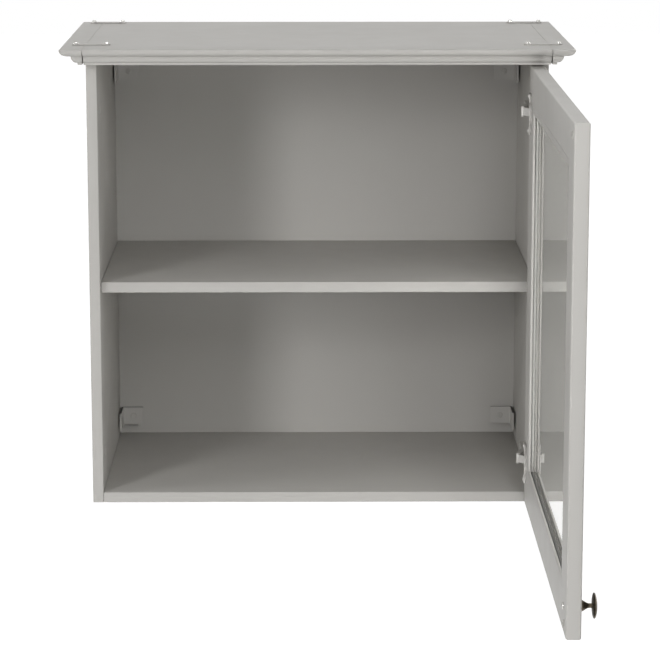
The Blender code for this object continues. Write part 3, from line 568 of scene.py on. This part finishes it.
def screw_mesh(head_radius, head_height, shank_radius, shank_length):
    """Round-head screw with a cross recess, its head standing on height zero."""
    profile = dome(head_radius, head_height)
    profile += [(shank_radius, 0.0), (shank_radius, -shank_length), (0.0, -shank_length)]
    mesh = turned_mesh(profile)
    depth = head_height * RECESS_DEPTH
    long_side, short_side = head_radius * RECESS_LENGTH, head_radius * RECESS_WIDTH
    middle = (0.0, 0.0, head_height)
    cutters = [
        box_object((long_side, short_side, 2 * depth), middle),
        box_object((short_side, long_side, 2 * depth), middle),
    ]
    mesh = with_modifiers(mesh, *[boolean(cutter, 'DIFFERENCE') for cutter in cutters])
    for cutter in cutters:
        bpy.data.objects.remove(cutter)
    return shade(mesh)


def folded_mesh(path, floor, top):
    """Sheet bent along a path of (x, y) points, thickened to the right of its run."""
    bm = bmesh.new()
    lower = [bm.verts.new((x, y, floor)) for x, y in path]
    upper = [bm.verts.new((x, y, top)) for x, y in path]
    for start in range(len(path) - 1):
        bm.faces.new((lower[start], lower[start + 1], upper[start + 1], upper[start]))
    thickening = {"thickness": SHEET, "offset": 1.0, "use_even_offset": True}
    return shade(with_modifiers(made_mesh(bm, "sheet"), ('SOLIDIFY', thickening)))


def mitred_mesh(section, half):
    """Bar along Z of an (across, rise) section, of a half length at rise zero, its ends cut at 45 degrees."""
    bm = bmesh.new()
    rings = []
    for side in (-1, 1):
        rings.append([bm.verts.new((across, rise, side * (half - rise))) for across, rise in section])
    count = len(section)
    for step in range(count):
        after = (step + 1) % count
        bm.faces.new((rings[0][step], rings[0][after], rings[1][after], rings[1][step]))
    bm.faces.new(rings[0][::-1])
    bm.faces.new(rings[1])
    bmesh.ops.recalc_face_normals(bm, faces=bm.faces)
    return made_mesh(bm, "bar")


def facing(place, direction, turn_deg=0.0):
    """Matrix that stands a piece on a place with its Z along a direction, turned about it."""
    turn = UPWARD.rotation_difference(direction).to_matrix().to_4x4()
    return Matrix.Translation(place) @ turn @ Matrix.Rotation(radians(turn_deg), 4, 'Z')


def lying(place, rise):
    """Matrix that lays a bar on a place, its section across to the right and up along a direction."""
    turn = Matrix((RIGHTWARD, rise, RIGHTWARD.cross(rise))).transposed().to_4x4()
    return Matrix.Translation(place) @ turn


def add_piece(name, mesh, material, matrix, body, slot, *replaced):
    """Piece that rides on a body, takes a finish and stands for the nodes that it replaces. The slot is not
    used.
    """
    obj = placed(name, mesh)
    if not mesh.materials:
        mesh.materials.append(material)
    obj.matrix_world = matrix
    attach(obj, body)
    if replaced:
        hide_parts(*replaced)


# Small hardware

def cornice_screws():
    """Cross-head screws in place of the plain ones that hold the cornice plates."""
    mesh = screw_mesh(*CORNICE_SCREW)
    head_height = CORNICE_SCREW[1]
    names = sorted(name for name in NODES if name.startswith("cornice_screw"))
    for count, name in enumerate(names):
        low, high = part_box(name)
        seat = Vector(((low.x + high.x) / 2, (low.y + high.y) / 2, high.z - head_height))
        matrix = facing(seat, UPWARD, TURN_STEP_DEG * count)
        add_piece(f"cross_{name}", mesh, ZINC, matrix, "carcass", "zinc_plated_steel", name)


def hinge_screws():
    """Screws of the mounting plates, the arms and the cup flanges, and the heads of the link pins."""
    plate_mesh = screw_mesh(*PLATE_SCREW)
    flange_mesh = screw_mesh(*FLANGE_SCREW)
    arm_mesh = screw_mesh(*ARM_SCREW)
    pin_mesh = turned_mesh(dome(*PIN_HEAD) + [(0.0, 0.0)])
    pin_mesh.shade_smooth()
    pivot = Vector(JOINTS["hinge_link_turn"]["pos_m"])
    arm_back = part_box("right_side_panel")[0].x - ARM_BACK_HEIGHT
    for count, level in enumerate(LEVELS):
        low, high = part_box(f"hinge_mounting_plate_{level}")
        middle = (low + high) / 2
        arm_low, arm_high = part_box(f"hinge_arm_{level}")
        cup_low, cup_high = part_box(f"hinge_cup_{level}")
        cup_middle = (cup_low + cup_high) / 2
        base_face = high.x - PLATE_BASE
        base_y = middle.y - PLATE_SCREW_FORWARD
        for end, side in (("below", -1), ("above", 1)):
            turn = TURN_STEP_DEG * (2 * count + side)
            seat = Vector((base_face, base_y, middle.z + side * PLATE_SCREW_RISE))
            add_piece(f"plate_screw_{level}_{end}", plate_mesh, NICKEL, facing(seat, LEFTWARD, turn),
                      "carcass", "nickel_plate")
            seat = Vector((cup_low.x - FLANGE[2], cup_middle.y, cup_middle.z + side * FLANGE_SCREW_RISE))
            add_piece(f"flange_screw_{level}_{end}", flange_mesh, NICKEL, facing(seat, LEFTWARD, turn),
                      "door", "nickel_plate")
            edge, outward = (arm_high.z, UPWARD) if side > 0 else (arm_low.z, DOWNWARD)
            seat = Vector((pivot.x, pivot.y, edge))
            add_piece(f"pin_head_{level}_{end}", pin_mesh, NICKEL, facing(seat, outward),
                      "carcass", "nickel_plate")
        for place, setback in ARM_SCREW_SETBACKS:
            seat = Vector((arm_back, arm_high.y - setback, (arm_low.z + arm_high.z) / 2))
            turn = TURN_STEP_DEG * count
            add_piece(f"arm_screw_{level}_{place}", arm_mesh, NICKEL, facing(seat, LEFTWARD, turn),
                      "carcass", "nickel_plate")


def flange_covers():
    """Raised pressed edge of each cup flange, on the side away from the arm."""
    length, width, height = FLANGE
    ears = box_object((length, width, height), (0.0, 0.0, height / 2))
    rim = [(0.0, height), (FLANGE_RIM_RADIUS, height), (FLANGE_RIM_RADIUS, 0.0), (0.0, 0.0)]
    disc = turned_mesh(rim, FLANGE_SEGMENTS)
    mouth = disc_object(FLANGE_MOUTH_RADIUS, height)
    clear = box_object((2 * length, length, 4 * height), (0.0, FLANGE_STOP + length / 2, 0.0))
    rounding = {
        "width": FLANGE_ROUND, "segments": FLANGE_ROUND_SEGMENTS,
        "limit_method": 'ANGLE', "angle_limit": radians(SHARP_ABOVE_DEG),
    }
    steps = [boolean(ears, 'UNION'), boolean(mouth, 'DIFFERENCE'), boolean(clear, 'DIFFERENCE')]
    mesh = shade(with_modifiers(disc, *steps, ('BEVEL', rounding)))
    for cutter in (ears, mouth, clear):
        bpy.data.objects.remove(cutter)
    for level in LEVELS:
        low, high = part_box(f"hinge_cup_{level}")
        seat = Vector((low.x, (low.y + high.y) / 2, (low.z + high.z) / 2))
        add_piece(f"flange_cover_{level}", mesh, NICKEL, facing(seat, LEFTWARD), "door", "nickel_plate")


def wall_brackets():
    """Folded brackets that stand off the corner, in place of the plain ones, each with a wall screw."""
    screw = screw_mesh(*BRACKET_SCREW)
    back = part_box("back_panel")[0].y - BRACKET_BACK_GAP
    for level in LEVELS:
        for side_name, side in SIDES:
            node = f"wall_bracket_{level}_{side_name}"
            low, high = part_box(node)
            wall_low, wall_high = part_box(f"{side_name}_side_panel")
            wall, leg_end = (wall_high.x, high.x) if side < 0 else (wall_low.x, low.x)
            flank = wall - side * BRACKET_SIDE_GAP
            centre = (flank - side * BRACKET_BEND, back - BRACKET_BEND)
            bend = quarter(centre, (side * BRACKET_BEND, BRACKET_BEND), (90, 0))
            path = [(leg_end, back)] + bend + [(flank, low.y)]
            mesh = folded_mesh(path if side > 0 else path[::-1], low.z, high.z)
            add_piece(f"folded_{node}", mesh, EDGE_SHADOWED_SHEET, Matrix.Identity(4), "carcass", "grey_paint", node)
            seat = Vector((wall - side * BRACKET_SCREW_INSET, back - SHEET, (low.z + high.z) / 2))
            matrix = facing(seat, FORWARD, TURN_STEP_DEG)
            add_piece(f"screw_{node}", screw, PAINT, matrix, "carcass", "grey_paint")


def glazing_seals():
    """Rubber seal round the pane, over the foot of each bead, mitred at the corners; dark along the rails as
    painted shade, lighter along the stiles as painted light.
    """
    beads = {side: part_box(f"glazing_bead_{side}") for side in ("bottom", "top", "hinge", "free")}
    low = Vector((beads["bottom"][0].x, beads["free"][1].y, beads["bottom"][1].z))
    high = Vector((low.x, beads["hinge"][0].y, beads["top"][0].z))
    middle, size = (low + high) / 2, high - low
    runs = (
        ("bottom", UPWARD, size.z, size.y, RAIL_SEAL, PAINTED_SHADE_RUBBER),
        ("top", DOWNWARD, size.z, size.y, RAIL_SEAL, PAINTED_SHADE_RUBBER),
        ("hinge", FORWARD, size.y, size.z, STILE_SEAL, PAINTED_LIGHT_RUBBER),
        ("free", REARWARD, size.y, size.z, STILE_SEAL, PAINTED_LIGHT_RUBBER),
    )
    for name, inward, across, along, section, rubber in runs:
        place = lying(middle - inward * across / 2, inward)
        mesh = mitred_mesh(section, along / 2)
        add_piece(f"glazing_seal_{name}", mesh, rubber, place, "door", "grey_plastic")


def seam_glue():
    """Glue line between the top board and each cornice strip, which keeps light out of the seam; its dark
    colour is painted shade.
    """
    low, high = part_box("top_board")
    front, rear = low.y + GLUE_SETBACK, high.y - GLUE_SETBACK
    for name, side in SIDES:
        strip_low, strip_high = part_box(f"cornice_{name}")
        board_edge, strip_edge = (low.x, strip_high.x) if side < 0 else (high.x, strip_low.x)
        seat = Vector(((board_edge + strip_edge) / 2, (front + rear) / 2, high.z - GLUE_DEPTH))
        mesh = mitred_mesh(GLUE_SECTION, (rear - front) / 2)
        add_piece(f"seam_glue_{name}", mesh, PAINTED_SHADE_RUBBER, lying(seat, UPWARD), "carcass", "grey_plastic")


def door_knob():
    """Mushroom knob and its cross-head screw in place of the coarser solids."""
    low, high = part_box("knob")
    radius, projection = (high.z - low.z) / 2, high.x - low.x
    disc_edge = projection - KNOB_CROWN
    profile = quarter((0.0, disc_edge), (radius, KNOB_CROWN), (90, 0))
    profile += quarter((KNOB_NECK, disc_edge), (radius - KNOB_NECK, KNOB_UNDERCUT), (0, -90))[1:]
    profile += bell(KNOB_NECK, KNOB_FOOT, KNOB_FLARE) + [(0.0, 0.0)]
    mesh = shade(turned_mesh(profile, KNOB_SEGMENTS))
    foot = Vector((low.x, (low.y + high.y) / 2, (low.z + high.z) / 2))
    add_piece("turned_knob", mesh, BRONZE, facing(foot, RIGHTWARD), "door", "antique_bronze", "knob")
    seat = Vector((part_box("knob_screw")[0].x + KNOB_SCREW[1], foot.y, foot.z))
    add_piece("cross_knob_screw", screw_mesh(*KNOB_SCREW), ZINC, facing(seat, LEFTWARD, TURN_STEP_DEG),
              "door", "zinc_plated_steel", "knob_screw")


# Stage, light and camera

def seen_directly(tree):
    """One for rays that come from the camera, a mirror or through glass, zero for the rest."""
    path = tree.nodes.new("ShaderNodeLightPath")
    total = path.outputs["Is Camera Ray"]
    for kind in ("Is Glossy Ray", "Is Transmission Ray"):
        highest = tree.nodes.new("ShaderNodeMath")
        highest.operation = 'MAXIMUM'
        tree.links.new(total, highest.inputs[0])
        tree.links.new(path.outputs[kind], highest.inputs[1])
        total = highest.outputs["Value"]
    return total


def studio_world():
    """Soft even light, seen as plain white."""
    world = bpy.data.worlds.new("studio")
    world.use_nodes = True
    tree = world.node_tree
    strength = tree.nodes.new("ShaderNodeMapRange")
    strength.inputs["To Min"].default_value = AMBIENT
    strength.inputs["To Max"].default_value = 1.0
    tree.links.new(seen_directly(tree), strength.inputs["Value"])
    backdrop = tree.nodes["Background"]
    backdrop.inputs["Color"].default_value = WHITE
    tree.links.new(strength.outputs["Result"], backdrop.inputs["Strength"])
    bpy.context.scene.world = world


def studio_floor():
    """Pale floor well below the cabinet, which hangs on a wall."""
    bm = bmesh.new()
    bmesh.ops.create_grid(bm, x_segments=1, y_segments=1, size=FLOOR_SIZE / 2)
    floor = placed("floor", made_mesh(bm, "floor"))
    floor.location.z = CAD_BOX[0].z - FLOOR_DROP
    material, tree, shader = new_material("pale_floor")
    shader.inputs["Base Color"].default_value = (FLOOR_GREY, FLOOR_GREY, FLOOR_GREY, 1.0)
    shader.inputs["Roughness"].default_value = FLOOR_ROUGHNESS
    shader.inputs["Emission Color"].default_value = WHITE
    glow = tree.nodes.new("ShaderNodeMapRange")
    glow.inputs["To Max"].default_value = FLOOR_GLOW
    tree.links.new(seen_directly(tree), glow.inputs["Value"])
    tree.links.new(glow.outputs["Result"], shader.inputs["Emission Strength"])
    floor.data.materials.append(material)


def softbox(name, place, size, power):
    """Large lamp that lights the cabinet and is not seen itself, nor through the glass."""
    light = bpy.data.lights.new(name, 'AREA')
    light.shape = 'RECTANGLE'
    light.size, light.size_y = size
    light.energy = power
    # With it on, part of the light that passes the clear pane is lost
    light.cycles.use_multiple_importance_sampling = False
    lamp = placed(name, light)
    lamp.location = place
    lamp.rotation_euler = (Vector(AIM) - Vector(place)).to_track_quat('-Z', 'Y').to_euler()
    lamp.visible_camera = False
    lamp.visible_transmission = False


def photo_camera():
    """Camera at the photograph's viewing angle."""
    data = bpy.data.cameras.new("camera")
    data.lens = CAMERA_LENS_MM
    data.sensor_width = SENSOR_MM
    camera = placed("camera", data)
    camera.location = CAMERA_PLACE
    camera.rotation_euler = (radians(90 - CAMERA_PITCH_DEG), 0.0, radians(-CAMERA_YAW_DEG))
    bpy.context.scene.camera = camera


finish_solids()
cornice_screws()
hinge_screws()
flange_covers()
wall_brackets()
glazing_seals()
seam_glue()
door_knob()
studio_world()
studio_floor()
for lamp_name, settings in SOFTBOXES.items():
    softbox(lamp_name, **settings)
photo_camera()
bpy.context.scene.view_settings.view_transform = 'Standard'
